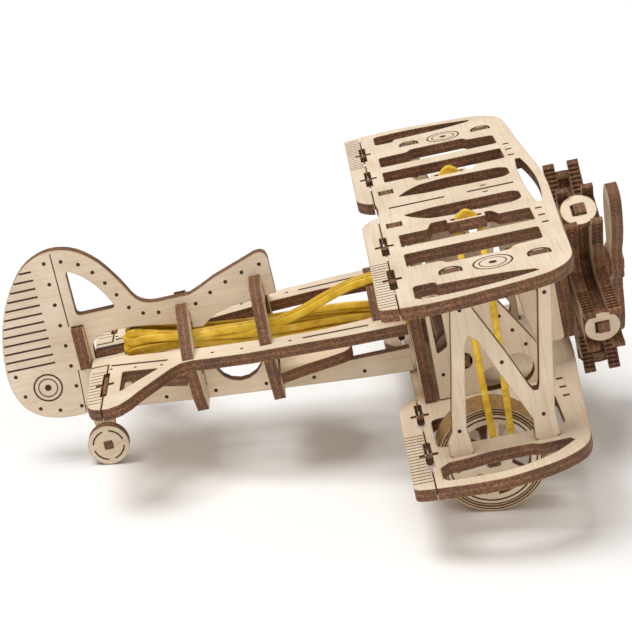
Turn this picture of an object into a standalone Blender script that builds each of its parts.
"""Plywood biplane model with a rubber motor, built from separate laser-cut pieces.

Aircraft axes in millimetres: x forward, y to port, z up, origin on the aileron
hinge line at the top face of the upper wing.  Every piece is placed by one world
matrix that pitches the nose up until the wheels stand on z = 0.
"""
import math

import bmesh
import bpy
from mathutils import Matrix, Vector
from mathutils.geometry import tessellate_polygon

MM = 0.001
PLY = 3.0            # sheet thickness
GAP = 0.3            # assembly gap between pieces that touch
SLOT = 0.15          # clearance on each side of a slot or mortise
HINGE = 0.16         # half of the gap along a hinge line
WING_DROP = 45.55    # top of the lower wing below the top of the upper wing
DECK_TOP = -23.06
KEEL_HALF = PLY / 2
STRUT_Y = 60.3       # mid plane of each N strut
PANEL_Y = 23.5       # mid plane of each side panel
NOSE_Y = 17.0        # mid plane of each nose panel
SHAFT_Z = -26.6      # propeller shaft
AXLE_X, AXLE_Z = 15.4, -54.3
WHEEL_R = 13.8
WHEEL_SIDES = 48
WHEEL_Y = (39.0, 48.0)
TAIL_X, TAIL_Z = -82.4, -46.6
TAIL_R = 5.5
TAIL_SIDES = 32
DRUM_X, DRUM_Z = 13.9, -36.2
FRAME_X = {"frame_tail": -55.0, "frame_headrest": -34.6, "frame_cockpit": -5.2,
           "frame_main": 3.7, "firewall": 42.4}
STAR_X = (45.5, 52.0)   # rear face of each star plate
WASHER_X, WASHER_R = 50.0, 24.2
ARM_TIP, ARM_HALF = 27.6, 6.1
CYLINDERS = 5
ARM_ANGLE = 52.8     # first cylinder above the starboard horizontal
PROP_LEAN = 38.0     # top blade leans to starboard
PEG_UPPER = (31.8, 58.1)   # hinge pegs, distance from the centre line
PEG_LOWER = (32.1, 57.4)
PEG_ELEVATOR = 23.6
PEG_SLOT = 7.4          # half length of the slot round a wing peg
ELEVATOR_SLOT = 8.2

COLOURS = {
    "birch_ply": ((0.71, 0.56, 0.40), 0.62),
    "burnt_ply": ((0.12, 0.055, 0.035), 0.7),
    "rim_ply": ((0.36, 0.20, 0.09), 0.6),
    "rubber": ((0.80, 0.50, 0.02), 0.45),
}


def clear_scene():
    for obj in list(bpy.data.objects):
        bpy.data.objects.remove(obj, do_unlink=True)


def make_material(name, kind):
    """Every piece owns its material, named after it."""
    colour, rough = COLOURS[kind]
    mat = bpy.data.materials.new(name)
    mat.use_nodes = True
    shader = mat.node_tree.nodes["Principled BSDF"]
    shader.inputs["Base Color"].default_value = (*colour, 1.0)
    shader.inputs["Roughness"].default_value = rough
    shader.inputs["Metallic"].default_value = 0.0
    mat.diffuse_color = (*colour, 1.0)
    return mat


def rest_pitch():
    """Nose-up angle, in degrees, at which main wheels and tail wheel share the ground."""
    main = WHEEL_R * math.cos(math.pi / WHEEL_SIDES)
    tail = TAIL_R * math.cos(math.pi / TAIL_SIDES)
    run = math.hypot(AXLE_X - TAIL_X, TAIL_Z - AXLE_Z)
    slope = math.atan2(TAIL_Z - AXLE_Z, AXLE_X - TAIL_X)
    return math.degrees(slope + math.asin((main - tail) / run))


def world_matrix():
    pitch = Matrix.Rotation(math.radians(-rest_pitch()), 4, "Y")
    hub = pitch @ Vector((AXLE_X, 0.0, AXLE_Z))
    apothem = WHEEL_R * math.cos(math.pi / WHEEL_SIDES)
    shift = Vector((0.0, 0.0, apothem - hub.z))
    return Matrix.Translation(shift * MM) @ pitch


# ---------------------------------------------------------------- outlines

def rect(u0, v0, u1, v1):
    return [(u0, v0), (u1, v0), (u1, v1), (u0, v1)]


def arc(cu, cv, r, a0, a1, n):
    out = []
    for i in range(n + 1):
        a = math.radians(a0 + (a1 - a0) * i / n)
        out.append((cu + r * math.cos(a), cv + r * math.sin(a)))
    return out


def circle(cu, cv, r, n=24, start=0.0):
    return arc(cu, cv, r, start, start + 360.0, n)[:-1]


def rounded(points, r, n=3):
    """Polygon with every corner rounded by a quadratic curve of reach r."""
    out = []
    for i, p in enumerate(points):
        a, b, c = Vector(points[i - 1]), Vector(p), Vector(points[(i + 1) % len(points)])
        ra = min(r, (a - b).length * 0.45)
        rc = min(r, (c - b).length * 0.45)
        s = b + (a - b).normalized() * ra
        e = b + (c - b).normalized() * rc
        for k in range(n + 1):
            t = k / n
            out.append(tuple(s * (1 - t) ** 2 + b * 2 * t * (1 - t) + e * t * t))
    return out


def smooth(points, n=3):
    """Open Catmull-Rom curve through the points."""
    out = []
    last = len(points) - 1
    for i in range(last):
        p0 = Vector(points[max(i - 1, 0)])
        p1 = Vector(points[i])
        p2 = Vector(points[i + 1])
        p3 = Vector(points[min(i + 2, last)])
        for k in range(n):
            t = k / n
            q = 2 * p1 + (p2 - p0) * t + (2 * p0 - 5 * p1 + 4 * p2 - p3) * t * t
            q = q + (3 * p1 - p0 - 3 * p2 + p3) * t ** 3
            out.append(tuple(q * 0.5))
    out.append(tuple(points[-1]))
    return out


def flip(points):
    """Same outline on the other side of the second axis."""
    return [(u, -v) for u, v in reversed(points)]


def both(points):
    return [points, flip(points)]


def mirror_closed(half):
    """Full outline from its port half, listed from the front to the rear."""
    return half + [(u, -v) for u, v in reversed(half) if abs(v) > 1e-6]


# ------------------------------------------------------------------ meshes

def area(points):
    total = 0.0
    for i, (u, v) in enumerate(points):
        pu, pv = points[i - 1]
        total += pu * v - u * pv
    return total / 2


def tidy(points, wind):
    kept = []
    for p in points:
        if not kept or (Vector(p) - Vector(kept[-1])).length > 0.02:
            kept.append(p)
    if (Vector(kept[0]) - Vector(kept[-1])).length < 0.02:
        kept.pop()
    if area(kept) * wind < 0:
        kept.reverse()
    return kept


def axes(normal):
    """Frame whose third axis is the sheet normal, right handed."""
    if normal == "z":
        return lambda u, v, w: (u, v, w)
    if normal == "y":
        return lambda u, v, w: (u, w, v)
    return lambda u, v, w: (w, u, v)


def sheet_mesh(name, outline, holes, normal, w0, w1, origin):
    loops = [tidy(outline, 1.0)] + [tidy(h, -1.0) for h in holes]
    place = axes(normal)
    flat = [p for loop in loops for p in loop]
    tris = tessellate_polygon([[Vector((u, v, 0.0)) for u, v in loop] for loop in loops])
    bm = bmesh.new()
    low = [bm.verts.new(place(u, v, w0)) for u, v in flat]
    top = [bm.verts.new(place(u, v, w1)) for u, v in flat]
    for tri in tris:
        bm.faces.new([top[i] for i in tri])
        bm.faces.new([low[i] for i in reversed(tri)])
    start = 0
    for loop in loops:
        n = len(loop)
        for i in range(n):
            a, b = start + i, start + (i + 1) % n
            bm.faces.new((low[a], low[b], top[b], top[a]))
        start += n
    bmesh.ops.translate(bm, verts=bm.verts, vec=-Vector(origin))
    bmesh.ops.scale(bm, verts=bm.verts, vec=(MM, MM, MM))
    bmesh.ops.recalc_face_normals(bm, faces=bm.faces)
    mesh = bpy.data.meshes.new(name)
    bm.to_mesh(mesh)
    bm.free()
    return mesh


class Builder:
    def __init__(self):
        self.world = world_matrix()
        self.pieces = []

    def place(self, name, mesh, mat, origin):
        mesh.materials.append(make_material(name, mat))
        obj = bpy.data.objects.new(name, mesh)
        bpy.context.scene.collection.objects.link(obj)
        obj.matrix_world = self.world @ Matrix.Translation(Vector(origin) * MM)
        self.pieces.append(obj)
        return obj

    def centre_lengthways(self):
        """Slide the standing model along X until its overall box is centred."""
        xs = [(o.matrix_world @ v.co).x for o in self.pieces for v in o.data.vertices]
        shift = Matrix.Translation((-(min(xs) + max(xs)) / 2, 0.0, 0.0))
        for obj in self.pieces:
            obj.matrix_world = shift @ obj.matrix_world

    def sheet(self, name, outline, holes, normal, w0, w1, mat="birch_ply", origin=(0, 0, 0)):
        mesh = sheet_mesh(name, outline, holes, normal, w0, w1, origin)
        return self.place(name, mesh, mat, origin)

    def ring(self, name, rings, mat, origin=(0, 0, 0)):
        """Closed loop whose last ring of points joins the first."""
        bm = bmesh.new()
        rows = []
        for ring in rings:
            rows.append([bm.verts.new((Vector(p) - Vector(origin)) * MM) for p in ring])
        n = len(rings[0])
        for k, row in enumerate(rows):
            after = rows[(k + 1) % len(rows)]
            for i in range(n):
                j = (i + 1) % n
                bm.faces.new((row[i], row[j], after[j], after[i]))
        bmesh.ops.recalc_face_normals(bm, faces=bm.faces)
        mesh = bpy.data.meshes.new(name)
        bm.to_mesh(mesh)
        bm.free()
        return self.place(name, mesh, mat, origin)


# ------------------------------------------------------------------- wings

def wing_front(drop):
    """Leading edge and tip of the port half, centre to hinge line."""
    if drop == 0:
        pts = [(44.6, 0), (44.4, 9), (43.8, 20), (43.2, 31), (42.6, 42), (42.2, 52),
               (41.9, 60), (41.4, 66), (40, 70.2), (37.4, 73.6), (34, 75.8), (29, 77.3),
               (22, 78.4), (14, 79.6), (8, 79.9), (3, 79.5), (HINGE, 79.1)]
    else:
        pts = [(43.6, 0), (43.2, 9), (42.3, 20), (41.3, 31), (40.4, 42), (39.8, 51),
               (39.2, 58), (38.6, 64), (36.8, 69.8), (32.5, 74), (27, 76.7), (20, 78.6),
               (14.5, 79.3), (8, 78.8), (3.7, 78.1), (HINGE, 77.5)]
    return smooth(pts, 3)


def peg_notches(pegs, side):
    """Edge of the wing (side +1) or aileron (side -1) with slots for the pegs."""
    out = []
    for y in pegs:
        s = side * HINGE
        deep = side * 0.9
        arm = side * 2.3
        out += [(s, y - PEG_SLOT), (deep, y - PEG_SLOT), (deep, y - 0.75), (arm, y - 0.75)]
        out += [(arm, y + 0.75), (deep, y + 0.75), (deep, y + PEG_SLOT), (s, y + PEG_SLOT)]
    return out


def upper_slots():
    tip = smooth([(9.6, 68.2), (17, 68.6), (25, 69.4), (32.0, 71.2)], 3)
    tip += smooth([(32.9, 72.7), (25, 74.8), (17, 75.9), (11, 76.1), (5.2, 75.6)], 3)
    tip += [(4.1, 74.6), (4.1, 66.9), (4.9, 66.0), (8.8, 66.0), (9.6, 66.8)]
    mid = rounded([(4.1, 41.0), (37.1, 41.0), (36.9, 50.4), (29.6, 51.4), (28.6, 53.8),
                   (13.4, 53.8), (12.4, 51.6), (4.1, 51.2)], 0.9, 2)
    inner = rounded([(4.1, 25.1), (11.4, 25.0), (12.6, 20.4), (16.6, 20.3), (16.6, 23.4),
                     (26.3, 23.4), (26.3, 20.2), (28.0, 20.6), (29.5, 24.4), (37.2, 24.6),
                     (37.2, 35.1), (4.1, 35.1)], 0.45, 2)
    root = rounded([(6.4, 8.7), (14.0, 7.1), (34.8, 7.0), (36.6, 8.8), (36.6, 14.8), (34.4, 16.8),
                    (20.0, 17.6), (12.8, 16.2), (9.0, 12.6)], 1.0, 2)
    return [tip, mid, inner, root]


def wing_marks(x, ys):
    return [rect(x - 0.8, y - 0.55, x + 0.8, y + 0.55) for y in ys]


def upper_wing(b):
    half = wing_front(0) + list(reversed(peg_notches(PEG_UPPER, 1)))
    half += [(HINGE, 6.5), (0.7, 0.0)]
    holes = []
    for hole in upper_slots():
        holes += both(hole)
    holes += both(rect(17.6, 20.75, 25.4, 22.15))
    holes += both(rect(2.05, 13.4, 5.35, 17.4))
    for x in (13.6, 34.5):
        holes += both(rect(x - 1.9, STRUT_Y - 1.65, x + 1.9, STRUT_Y + 1.65))
    for mark in wing_marks(39.2, (26.4, 32.5, 38.5)):
        holes += both(mark)
    holes += both(rect(28.0, 2.6, 29.3, 3.4))
    crescent = smooth([(39.6, 21.4), (38.9, 12), (38.7, 0), (38.9, -12), (39.6, -21.4)], 4)
    crescent += smooth([(40.9, -21.4), (41.9, -12), (42.4, 0), (41.9, 12), (40.9, 21.4)], 4)
    holes.append(crescent)
    b.sheet("upper_wing", mirror_closed(half), holes, "z", -PLY, 0.0)


def lower_slots():
    top = [(4.4, 64.2), (9.4, 63.9), (14.4, 62.9), (24.2, 63.1), (26.4, 64.3), (33.6, 64.3)]
    low = [(34.5, 65.9), (30, 70.2), (24.6, 73.1), (18, 75.2), (10.4, 75.1), (3.4, 74.3)]
    outer = smooth(top, 2) + smooth(low, 2) + [(2.1, 72.8), (2.1, 66.4)]
    inner = rounded([(2.4, 36.2), (34.0, 35.8), (34.0, 55.4), (2.4, 54.6)], 2.2, 3)
    return [outer, inner]


def lower_wing(b):
    top = -WING_DROP
    half = wing_front(1) + list(reversed(peg_notches(PEG_LOWER, 1)))
    half += [(HINGE, 19.0), (HINGE, 0.0)]
    holes = []
    for hole in lower_slots():
        holes += both(hole)
    for x0, x1 in ((5.6, 10.4), (26.2, 31.0)):
        holes += both(rect(x0 - SLOT, STRUT_Y - 1.65, x1 + SLOT, STRUT_Y + 1.65))
    holes += both(rect(8.8, PANEL_Y - 1.65, 33.4, PANEL_Y + 1.65))
    for mark in wing_marks(36.7, (26.6, 32.4, 38.2)):
        holes += both(mark)
    b.sheet("lower_wing", mirror_closed(half), holes, "z", top - PLY, top)


def aileron(b, name, drop, side):
    """Strip behind the hinge line; its origin is on the hinge axis."""
    if drop == 0:
        inner = [(-HINGE, 7.0), (-1.6, 7.7), (-3.2, 9.9), (-4.2, 12.2), (-4.45, 14.5)]
        outer = [(-4.5, 75.4), (-4.4, 77.0), (-3.7, 78.0), (-2.0, 78.6), (-HINGE, 79.0)]
        pegs = PEG_UPPER
    else:
        inner = [(-HINGE, 19.6), (-1.9, 21.0), (-3.7, 23.2), (-4.8, 25.6), (-5.1, 28.2)]
        outer = [(-5.1, 73.6), (-5.0, 75.2), (-4.1, 76.3), (-2.2, 76.9), (-HINGE, 77.4)]
        pegs = PEG_LOWER
    half = smooth(inner, 2) + smooth(outer, 2) + list(reversed(peg_notches(pegs, -1)))
    if side < 0:
        half = flip(half)
    top = -WING_DROP * drop
    hinge = (0.0, 0.0, top - PLY / 2)
    b.sheet(name, half, [], "z", top - PLY, top, origin=hinge)


def wing_peg(b, name, y, top):
    """Cross-shaped hinge peg lying in the slot across the hinge line."""
    side = 1 if y > 0 else -1
    arm, body, reach = 0.45, 0.6, 1.4
    pts = [(-1.95, -arm), (-body, -arm), (-body, -reach), (body, -reach), (body, -arm)]
    pts += [(1.95, -arm), (1.95, arm), (body, arm), (body, reach), (-body, reach)]
    pts += [(-body, arm), (-1.95, arm)]
    outline = [(u, y + side * v) for u, v in pts]
    b.sheet(name, outline, [], "z", top - 2.2, top - 0.3, "burnt_ply")


def wings(b):
    upper_wing(b)
    lower_wing(b)
    for label, drop in (("upper", 0), ("lower", 1)):
        pegs = PEG_UPPER if drop == 0 else PEG_LOWER
        for word, side in (("port", 1), ("starboard", -1)):
            aileron(b, f"aileron_{label}_{word}", drop, side)
            for place, y in zip(("inner", "outer"), pegs):
                wing_peg(b, f"peg_{label}_{word}_{place}", side * y, -WING_DROP * drop)


# ------------------------------------------------------------------ struts

def strut_outline():
    base = -WING_DROP
    up = [(11.9, 0.0), (11.9, -3.3), (11.6, -9.5), (9.2, -24.1), (7.3, -34.3), (6.6, -39.0)]
    foot = [(5.0, -41.6), (5.0, base + GAP), (5.6, base + GAP), (5.6, base - PLY)]
    foot += [(10.4, base - PLY), (10.4, base + GAP), (10.8, base + GAP), (10.6, -43.0)]
    inside = [(10.1, -38.9), (11.9, -26.8), (13.4, -18.4), (14.6, -16.2), (16.4, -17.6)]
    diag = [(19.7, -25.7), (23.7, -34.8), (25.9, -40.0), (25.7, base + GAP)]
    front = [(26.2, base + GAP), (26.2, base - PLY), (31.0, base - PLY), (31.0, base + GAP)]
    front += [(31.7, base + GAP), (31.4, -39.0), (33.4, -24.0), (35.6, -9.3), (36.2, -3.3)]
    front += [(36.2, 0.0), (32.8, 0.0), (32.8, -3.3), (32.6, -8.6), (28.9, -31.6)]
    vee = [(28.4, -32.9), (27.3, -32.9), (26.5, -31.6), (22.4, -21.8), (16.8, -9.9), (15.6, -3.3)]
    return up + foot + inside + diag + front + vee + [(15.3, -3.3), (15.3, 0.0)]


def n_struts(b):
    for word, side in (("port", 1), ("starboard", -1)):
        y = side * STRUT_Y
        b.sheet(f"n_strut_{word}", strut_outline(), [], "y", y - PLY / 2, y + PLY / 2)


# ---------------------------------------------------------------- fuselage

def keel_outline():
    fin = smooth([(-103.7, -28.6), (-104.4, -24), (-103.6, -15.5), (-101.4, -7.4), (-98, -0.6),
                  (-93.6, 4.8), (-88.6, 7.6), (-83.6, 8.2), (-78.4, 6.6), (-73.4, 2.4),
                  (-69.2, -3.8), (-66.2, -9.2), (-62.6, -11.1), (-57.5, -11.2)], 3)
    spine = [(-52.2, -11.2), (-49.2, -10.0), (-45.0, -8.0), (-35.3, -4.6)]
    spine += smooth([(-33.4, -3.9), (-31.8, -3.8), (-30.6, -4.5), (-30.1, -6.2)], 2)
    spine += [(-30.0, -15.6)]
    under = [(-32.95, -15.7), (-32.95, -12.6), (-36.25, -12.6), (-36.25, -16.3),
             (-42.0, -16.6), (-46.5, -17.8), (-49.2, -19.4), (-50.6, -20.6),
             (-53.35, -20.3), (-53.35, -15.6), (-56.65, -15.6), (-56.65, -18.6)]
    under += smooth([(-62.5, -17.5), (-69.0, -16.6), (-76.0, -16.6), (-79.0, -17.9),
                     (-80.2, -19.6), (-80.3, -23.1)], 2) + [(-74.6, -23.1)]
    belly = [(-74.6, -26.3), (-66.2, -26.3), (-66.2, -31.8), (-56.65, -31.8), (-56.65, -36.8),
             (-53.35, -36.8), (-53.35, -31.0), (-50.2, -31.0)]
    belly += arc(-43.6, -31.0, 6.6, 180, 348, 8)
    belly += [(-36.25, -32.4), (-36.25, -37.4), (-32.95, -37.4), (-32.95, -35.3), (-22.0, -35.3),
              (-19.0, -38.4), (1.3, -38.4), (1.3, -44.9)]
    floor = [(-10.5, -44.2), (-33, -42.3), (-54, -40.5), (-74, -38.4), (-78.9, -38.0),
             (-79.9, -43.0)]
    lug = arc(TAIL_X, TAIL_Z, 2.9, 20, -200, 8)
    rear = [(-84.9, -42.0)] + smooth([(-85.6, -37.7), (-91.8, -37.6), (-97.4, -36.2),
                                      (-101.5, -33.2), (-103.6, -29.2)], 3)[:-1]
    return fin + spine + under + belly + floor + lug + rear


def keel_cuts():
    window = [(-82.4, 2.2), (-78.9, 0.2), (-76.2, -2.5), (-73.9, -5.9), (-71.7, -10.4), (-82.4, -10.5)]
    post = rect(-84.65, -24.8, -81.35, -13.2)
    bearing = circle(TAIL_X, TAIL_Z, 1.5, 16)
    return [rounded(window, 1.2, 2), post, bearing]


def keel_plate(b):
    b.sheet("keel_fin", keel_outline(), keel_cuts(), "y", -KEEL_HALF, KEEL_HALF)


def tail_post(b):
    """Short frame through the keel at the stern post."""
    outline = [(-4.0, -13.5), (4.0, -13.5), (4.6, -24.5), (1.8, -24.5), (-1.8, -24.5), (-4.6, -24.5)]
    b.sheet("tail_post", outline, [], "x", -84.5, -81.5)


def deck_plate(b):
    z = DECK_TOP
    tail = [(-81.0, 1.65), (-81.0, 8.6), (-76.2, 8.6)]
    near, far = PEG_ELEVATOR - ELEVATOR_SLOT, PEG_ELEVATOR + ELEVATOR_SLOT
    pegs = [(-76.2, near), (-75.55, near), (-75.55, 22.85), (-74.1, 22.85), (-74.1, 24.35),
            (-75.55, 24.35), (-75.55, far), (-76.2, far)]
    tip = [(-76.2, 41.0), (-74.4, 41.2), (-71.8, 40.0), (-69.4, 37.1), (-67.0, 32.8),
           (-59.6, 21.9), (-57.0, 19.4), (-53.8, 18.9), (-49.2, 20.2), (-38.8, 22.4),
           (-25.8, 23.5), (-14.2, 24.8), (1.6, 25.3)]
    nose = [(1.6, 14.7), (-5.0, 15.2), (-19.0, 16.3), (-33.0, 15.0), (-38.6, 13.6),
            (-50.0, 11.2), (-56.65, 9.5), (-66.0, 6.6), (-71.0, 5.2), (-72.3, 3.2)]
    half = [(-74.25, 0.0), (-74.25, 1.65)] + tail + pegs + tip + nose + [(-72.3, 0.0)]
    full = half + [(u, -v) for u, v in reversed(half) if v > 0]
    holes = both(rounded([(-72.3, 16.4), (-72.3, 30.6), (-62.6, 19.4)], 0.8, 2))
    b.sheet("deck_tailplane", full, holes, "z", z - PLY, z)


def elevators(b):
    z = DECK_TOP
    x = -76.4
    near, far = PEG_ELEVATOR - ELEVATOR_SLOT, PEG_ELEVATOR + ELEVATOR_SLOT
    for word, side in (("port", 1), ("starboard", -1)):
        half = [(x - HINGE, 9.2), (-80.9, 9.4), (-81.1, 12), (-80.4, 35.5), (-79.6, 38.2),
                (-78.4, 39.8), (x - HINGE, 40.8), (x - HINGE, far), (x - 0.85, far),
                (x - 0.85, 24.35), (x - 2.3, 24.35), (x - 2.3, 22.85), (x - 0.85, 22.85),
                (x - 0.85, near), (x - HINGE, near)]
        if side < 0:
            half = flip(half)
        hinge = (x, 0.0, z - PLY / 2)
        b.sheet(f"elevator_{word}", half, [], "z", z - PLY, z, origin=hinge)
        arm = 0.45
        pts = [(-1.95, -arm), (-0.45, -arm), (-0.45, -6.2), (0.45, -6.2), (0.45, -arm),
               (1.95, -arm), (1.95, arm), (0.45, arm), (0.45, 5.8), (-0.45, 5.8),
               (-0.45, arm), (-1.95, arm)]
        peg = [(x + u, side * (PEG_ELEVATOR + v)) for u, v in pts]
        b.sheet(f"peg_elevator_{word}", peg, [], "z", z - 2.2, z - 0.3, "burnt_ply")


def frame(b, name, half, holes, starboard_top=()):
    """Cross frame from its port half, listed from the top centre downwards.

    starboard_top replaces the first points of the other half where they differ."""
    x = FRAME_X[name]
    other = list(starboard_top) + half[len(starboard_top):]
    full = half + [(-u, v) for u, v in reversed(other) if u > 1e-6]
    b.sheet(name, full, holes, "x", x - PLY / 2, x + PLY / 2)


def frames(b):
    deck, under = DECK_TOP + GAP, DECK_TOP - PLY - GAP
    half = [(1.65, -15.9), (1.65, -10.7), (4.0, -11.4), (13.0, -18.0), (18.2, deck), (9.1, deck),
            (9.1, under), (17.6, under), (14.2, -35.0), (9.6, -40.6), (1.65, -40.6), (1.65, -36.5)]
    frame(b, "frame_tail", half, [rounded([(6.2, -32.4), (-6.2, -32.4), (-6.2, -20.4),
                                           (-3.4, -18.6), (3.4, -18.6), (6.2, -20.4)], 1.0, 2)],
          [(1.65, -15.9), (1.65, -13.1), (4.0, -13.4)])
    half = [(1.65, -12.9), (1.65, -9.7), (11.0, -9.7), (13.8, -12.4), (19.2, deck), (14.2, deck),
            (14.2, under), (19.2, under), (14.4, -35.6), (11.0, -41.4), (1.65, -41.4), (1.65, -37.1)]
    frame(b, "frame_headrest", half, [rounded([(10.4, -22.0), (9.4, -33.6), (-9.4, -33.6),
                                               (-10.4, -22.0), (-7.4, -16.2), (7.4, -16.2)], 2, 2)])
    bar = [(0.0, -18.0), (9.0, -18.0), (15.8, -19.6), (18.4, deck), (14.8, deck), (0.0, deck)]
    frame(b, "frame_cockpit", bar, [])
    top = [(0.0, -8.6), (12.4, -8.6), (13.55, -3.3), (13.55, 0.0), (17.25, 0.0), (17.25, -3.3),
           (18.4, -9.0), (25.3, -20.0), (25.3, -WING_DROP + GAP), (0.0, -WING_DROP + GAP)]
    holes = [rounded([(13.0, -14.0), (16.4, -22.6), (16.4, -37.0), (-16.4, -37.0),
                      (-16.4, -22.6), (-13.0, -14.0)], 2, 2)]
    frame(b, "frame_main", top, holes)


def side_panel_outline():
    nose = [(6.0, -14.0), (19.6, -13.2), (33.0, -35.6), (33.0, -45.4), (31.6, -49.0), (26.0, -50.2)]
    leg = arc(AXLE_X, AXLE_Z, 6.0, 10, -190, 12)
    return rounded(nose, 1.2, 2) + leg + [(9.2, -45.2), (6.0, -45.2)]


def panels(b):
    hub = circle(AXLE_X, AXLE_Z, 2.2, 24)
    opening = rounded([(7.6, -33.0), (10.6, -31.4), (10.6, -17.4), (7.6, -17.4)], 0.8, 2)
    round_hole = circle(27.0, -41.3, 4.2, 24)
    notch = circle(DRUM_X, DRUM_Z, 2.2, 24)
    window = circle(20.4, -43.0, 3.4, 20)
    for word, side in (("port", 1), ("starboard", -1)):
        y = side * PANEL_Y
        b.sheet(f"side_panel_{word}", side_panel_outline(),
                [hub, opening, round_hole, notch, window], "y", y - PLY / 2, y + PLY / 2)
        y = side * NOSE_Y
        outline = rounded([(29.6, -12.0), (40.6, -13.4), (40.6, -38.4), (33.8, -38.4), (31.6, -30.0)], 1, 2)
        b.sheet(f"nose_panel_{word}", outline, [], "y", y - PLY / 2, y + PLY / 2)
    wall = [(12.0, -11.6), (18.9, -17.0), (18.9, -33.4), (12.0, -40.6)]
    wall += [(-u, v) for u, v in reversed(wall)]
    x = FRAME_X["firewall"]
    b.sheet("firewall", wall, [circle(0.0, SHAFT_Z, 2.92, 24)], "x", x - PLY / 2, x + PLY / 2)


def gussets(b):
    rear = [(-72.2, 1.65), (-72.2, 5.4), (-69.8, 7.6), (-57.0, 14.2)]
    rear = [(-66.0, 0.0), (-66.0, 1.65)] + rear + [(-57.0, 0.0)]
    full = rear + [(u, -v) for u, v in reversed(rear) if v > 0]
    b.sheet("belly_rear", full, [], "z", -31.4, -28.4)
    front = smooth([(-32.6, 17.7), (-25.7, 14.8), (-18.0, 12.4), (-14.6, 10.4), (-13.5, 7.0)], 3)
    front = [(-32.6, 0.0)] + front + [(-13.5, 0.0)]
    full = front + [(u, -v) for u, v in reversed(front) if v > 0]
    b.sheet("belly_front", full, [], "z", -35.0, -32.0)


# ---------------------------------------------------------- undercarriage

def wheel_windows():
    out = []
    for k in range(6):
        a = 60 * k - 10
        ring = arc(AXLE_X, AXLE_Z, 9.4, a - 21, a + 21, 5)
        ring += arc(AXLE_X, AXLE_Z, 4.8, a + 12, a - 12, 3)
        out.append(ring)
    return out


def undercarriage(b):
    hub = (AXLE_X, 0.0, AXLE_Z)
    start = -90.0 - 180.0 / WHEEL_SIDES - rest_pitch()
    for word, side in (("port", 1), ("starboard", -1)):
        outer, inner = side * WHEEL_Y[1], side * (WHEEL_Y[1] - PLY)
        disc = circle(AXLE_X, AXLE_Z, 11.8, WHEEL_SIDES, start)
        square = rect(AXLE_X - 1.65, AXLE_Z - 1.65, AXLE_X + 1.65, AXLE_Z + 1.65)
        b.sheet(f"wheel_disc_{word}", disc, [square] + wheel_windows(), "y",
                min(outer, inner), max(outer, inner), "birch_ply", hub)
        w0, w1 = sorted((side * WHEEL_Y[0], side * WHEEL_Y[1]))
        b.sheet(f"wheel_rim_{word}", circle(AXLE_X, AXLE_Z, WHEEL_R, WHEEL_SIDES, start),
                [circle(AXLE_X, AXLE_Z, 12.1, WHEEL_SIDES, start)], "y", w0, w1, "rim_ply", hub)
    bar = rect(AXLE_X - 1.5, AXLE_Z - 1.5, AXLE_X + 1.5, AXLE_Z + 1.5)
    b.sheet("main_axle", bar, [], "y", -49.2, 49.2, "burnt_ply", hub)
    hub = (TAIL_X, 0.0, TAIL_Z)
    start = -90.0 - 180.0 / TAIL_SIDES - rest_pitch()
    disc = circle(TAIL_X, TAIL_Z, TAIL_R, TAIL_SIDES, start)
    b.sheet("tail_wheel", disc, [rect(TAIL_X - 1.15, TAIL_Z - 1.15, TAIL_X + 1.15, TAIL_Z + 1.15)],
            "y", -4.8, -1.8, "birch_ply", hub)
    b.sheet("tail_axle", rect(TAIL_X - 1.0, TAIL_Z - 1.0, TAIL_X + 1.0, TAIL_Z + 1.0), [],
            "y", -5.1, 3.0, "burnt_ply", hub)


# ------------------------------------------------------------------ engine

def star_outline():
    """Five arms with cooling fins, each tip notched to hold its washer, first arm along +u."""
    fins, pitch, depth = 8, 1.2, 0.75
    arm = [(9.6, -5.9)]
    for i in range(fins):
        r = 17.2 + pitch * i
        half = 4.9 + (ARM_HALF - 4.9) * (r - 9.6) / (ARM_TIP - 9.6)
        arm += [(r, -half), (r + 0.05, depth - half), (r + 0.6, depth - half), (r + 0.65, -half)]
    arm += [(ARM_TIP, -ARM_HALF), (ARM_TIP, -4.8), (WASHER_R - GAP, -4.8)]
    arm += [(u, -v) for u, v in reversed(arm)]
    out = []
    for k in range(CYLINDERS):
        turn = math.radians(360.0 * k / CYLINDERS)
        for u, v in arm:
            out.append((u * math.cos(turn) - v * math.sin(turn),
                        u * math.sin(turn) + v * math.cos(turn)))
    return out


def spin(points, deg, du, dv):
    a = math.radians(deg)
    return [(du + u * math.cos(a) - v * math.sin(a), dv + u * math.sin(a) + v * math.cos(a))
            for u, v in points]


def engine(b):
    hub = (0.0, 0.0, SHAFT_Z)
    turn = 180.0 - ARM_ANGLE
    star = spin(star_outline(), turn, 0.0, SHAFT_Z)
    bore = spin(rect(-2.15, -2.15, 2.15, 2.15), turn, 0.0, SHAFT_Z)
    for word, x in zip(("rear", "front"), STAR_X):
        b.sheet(f"engine_star_{word}", star, [bore], "x", x, x + PLY, "birch_ply", hub)
    spider = []
    for k in range(CYLINDERS):
        spoke = [(5.4, -1.5), (26.4, -1.5), (26.4, 1.5), (5.4, 1.5)]
        spider += spin(spoke, 360.0 * k / CYLINDERS, 0.0, 0.0)
    spider = spin(spider, turn, 0.0, SHAFT_Z)
    b.sheet("engine_spider", spider, [bore], "x", 48.8, 51.7, "burnt_ply", hub)
    for k in range(CYLINDERS):
        washer(b, k, turn + 360.0 * k / CYLINDERS)
    shaft = spin(rect(-2.0, -2.0, 2.0, 2.0), turn, 0.0, SHAFT_Z)
    b.sheet("engine_shaft", shaft, [], "x", 38.4, 61.0, "burnt_ply", hub)
    propeller(b, bore, turn)


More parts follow.
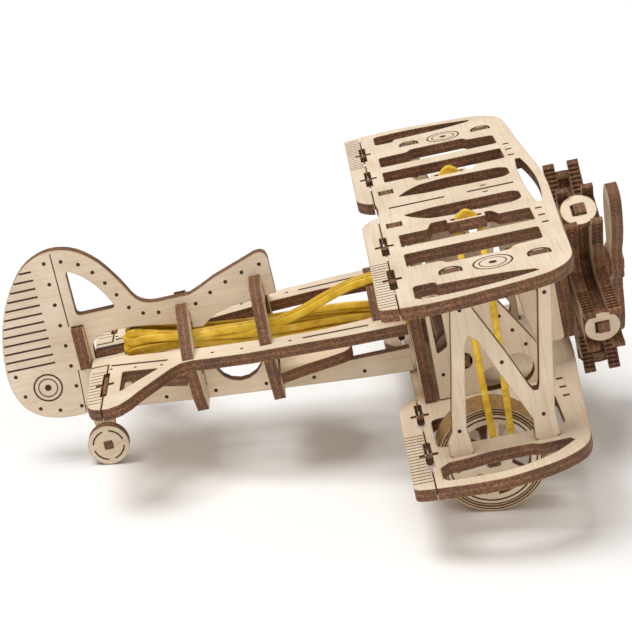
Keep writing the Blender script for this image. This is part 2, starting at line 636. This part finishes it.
def washer(b, k, deg):
    """Round washer with a square hole, facing outwards on one cylinder."""
    hub = (0.0, 0.0, SHAFT_Z)
    a = math.radians(deg)
    out = Vector((0.0, math.cos(a), math.sin(a)))
    side = Vector((0.0, -math.sin(a), math.cos(a)))
    hole = rect(-1.85, -1.75, 1.85, 1.75)
    mesh = sheet_mesh(f"cylinder_washer_{k + 1}", circle(0.0, 0.0, 4.6, 28), [hole], "z",
                      0.0, 1.5, (0, 0, 0))
    basis = Matrix((Vector((1, 0, 0)), -side, out)).transposed().to_4x4()
    basis.translation = (Vector((WASHER_X, 0.0, 0.0)) + out * WASHER_R) * MM
    basis.translation.z += SHAFT_Z * MM
    basis = Matrix.Translation(-Vector(hub) * MM) @ basis
    mesh.transform(basis)
    b.place(f"cylinder_washer_{k + 1}", mesh, "birch_ply", hub)


def propeller(b, bore, turn):
    hub = (0.0, 0.0, SHAFT_Z)
    blade = smooth([(4.1, -2.9), (9.0, -3.0), (14.5, -4.2), (21.5, -4.7), (27.5, -4.0),
                    (31.4, -2.5)], 3)
    blade += smooth([(32.2, 0.0), (31.4, 2.5), (27.5, 4.0), (21.5, 4.7), (14.5, 4.2),
                     (9.0, 3.0), (4.1, 2.9)], 3)
    blade += arc(0.0, 0.0, 5.0, 50, 130, 6)
    full = blade + [(-u, -v) for u, v in blade]
    full = spin(full, 90.0 + PROP_LEAN, 0.0, SHAFT_Z)
    b.sheet("propeller", full, [bore], "x", 57.3, 60.3, "birch_ply", hub)
    b.sheet("propeller_spacer", circle(0.0, SHAFT_Z, 4.2, 24), [bore], "x", 55.3, 57.0,
            "birch_ply", hub)


# ---------------------------------------------------------------- rubber

def tube(path, r, n):
    """Rings of n points along a closed path, r is the side and the upright radius."""
    rings = []
    for i, p in enumerate(path):
        t = (Vector(path[(i + 1) % len(path)]) - Vector(path[i - 1])).normalized()
        side = t.cross(Vector((0, 0, 1)))
        if side.length < 0.1:
            side = t.cross(Vector((0, 1, 0)))
        side.normalize()
        up = side.cross(t)
        ring = []
        for k in range(n):
            w = 2 * math.pi * k / n
            ring.append(Vector(p) + side * (r[0] * math.cos(w)) + up * (r[1] * math.sin(w)))
        rings.append(ring)
    return rings


def drum(b):
    """Winding drum and its square cross shaft between the main frame and the nose."""
    hub = (DRUM_X, 0.0, DRUM_Z)
    square = rect(DRUM_X - 1.65, DRUM_Z - 1.65, DRUM_X + 1.65, DRUM_Z + 1.65)
    b.sheet("winding_drum", circle(DRUM_X, DRUM_Z, 5.2, 28), [square], "y", -16.8, 16.8,
            "birch_ply", hub)
    for word, y0 in (("port", 17.1), ("starboard", -20.1)):
        b.sheet(f"drum_cheek_{word}", circle(DRUM_X, DRUM_Z, 7.4, 32), [square], "y",
                y0, y0 + PLY, "birch_ply", hub)
    bar = rect(DRUM_X - 1.5, DRUM_Z - 1.5, DRUM_X + 1.5, DRUM_Z + 1.5)
    b.sheet("drum_shaft", bar, [], "y", -25.4, 25.4, "burnt_ply", hub)


def rubber(b):
    half = [(-71.0, 0.9, -19.1), (-70.7, 2.2, -19.1), (-69.4, 2.95, -19.4), (-66.0, 3.0, -21.0),
            (-62.0, 2.6, -22.2),
            (-50.0, 2.2, -24.0), (-36.0, 1.9, -25.6), (-22.0, 2.2, -27.2), (-8.0, 2.9, -28.9),
            (1.0, 3.2, -29.8), (4.6, 2.2, -30.1), (5.4, 0.8, -30.2)]
    path = half + [(x, -y, z) for x, y, z in reversed(half)]
    b.ring("rubber_motor", tube(path, (0.85, 2.0), 10), "rubber")
    for word, side in (("port", 1), ("starboard", -1)):
        flying_band(b, word, side)


def flying_band(b, word, side):
    """Closed rubber loop: up through the upper wing slit, down to the lower wing rib."""
    pts = [(16.0, 54.2, -45.0), (18.0, 21.45, -4.6), (18.4, 21.45, 0.2), (19.7, 21.45, 1.5),
           (21.5, 21.45, 2.1), (23.4, 21.45, 1.5), (24.6, 21.45, 0.2), (24.9, 21.45, -4.6),
           (20.8, 54.2, -45.0), (20.6, 54.4, -49.0), (19.9, 56.2, -49.7), (18.6, 56.6, -49.8),
           (17.3, 56.2, -49.7), (16.6, 54.4, -49.0)]
    path = [(x, side * y, z) for x, y, z in pts]
    b.ring(f"flying_band_{word}", tube(path, (0.5, 0.5), 8), "rubber")


def tail_hook(b):
    """Hook that holds the rear loop of the rubber motor."""
    foot, bar, top = DECK_TOP + GAP, -21.4, -17.6
    outline = [(-80.0, foot), (-67.8, foot), (-67.8, top), (-69.8, top), (-69.8, bar),
               (-80.0, bar)]
    b.sheet("tail_hook", outline, [], "y", -1.5, 1.5, "burnt_ply")


def main():
    clear_scene()
    b = Builder()
    wings(b)
    n_struts(b)
    keel_plate(b)
    tail_post(b)
    deck_plate(b)
    elevators(b)
    frames(b)
    panels(b)
    gussets(b)
    undercarriage(b)
    engine(b)
    drum(b)
    rubber(b)
    tail_hook(b)
    b.centre_lengthways()


main()
